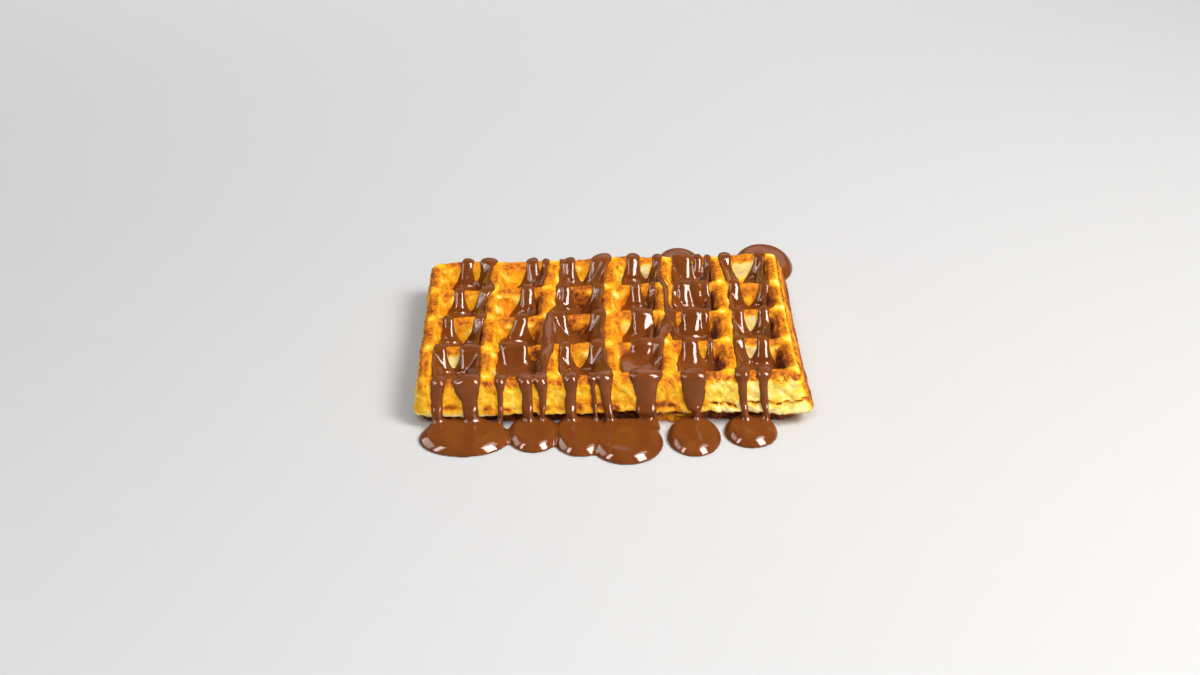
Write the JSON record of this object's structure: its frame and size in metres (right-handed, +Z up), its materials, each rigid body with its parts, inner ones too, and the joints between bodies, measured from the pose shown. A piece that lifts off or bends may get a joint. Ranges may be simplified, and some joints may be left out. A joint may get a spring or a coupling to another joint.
{
  "type": "chocolate hazelnut waffle",
  "caption": "Rectangular baked waffle with a grid of square pockets, chocolate sauce poured over it from back to front and pooled round its foot.",
  "frame": {"origin": "on the ground under the middle of the waffle's grid of pockets, where the two middle ridges of the underside cross", "axes": "+Z up, -Y towards the front edge that the sauce runs over, +X towards the waffle's right end"},
  "size_m": [0.1762, 0.185, 0.0258],
  "materials": {
    "waffle_crust": "golden baked batter crust, browned along its edges",
    "chocolate_sauce": "wet glossy chocolate hazelnut sauce"
  },
  "bodies": {
    "root": {"waffle": "waffle_crust", "puddle_front_left": "chocolate_sauce", "puddle_front_middle": "chocolate_sauce", "puddle_front_right": "chocolate_sauce", "puddle_back": "chocolate_sauce", "puddle_back_corner": "chocolate_sauce"}
  },
  "joints": []
}
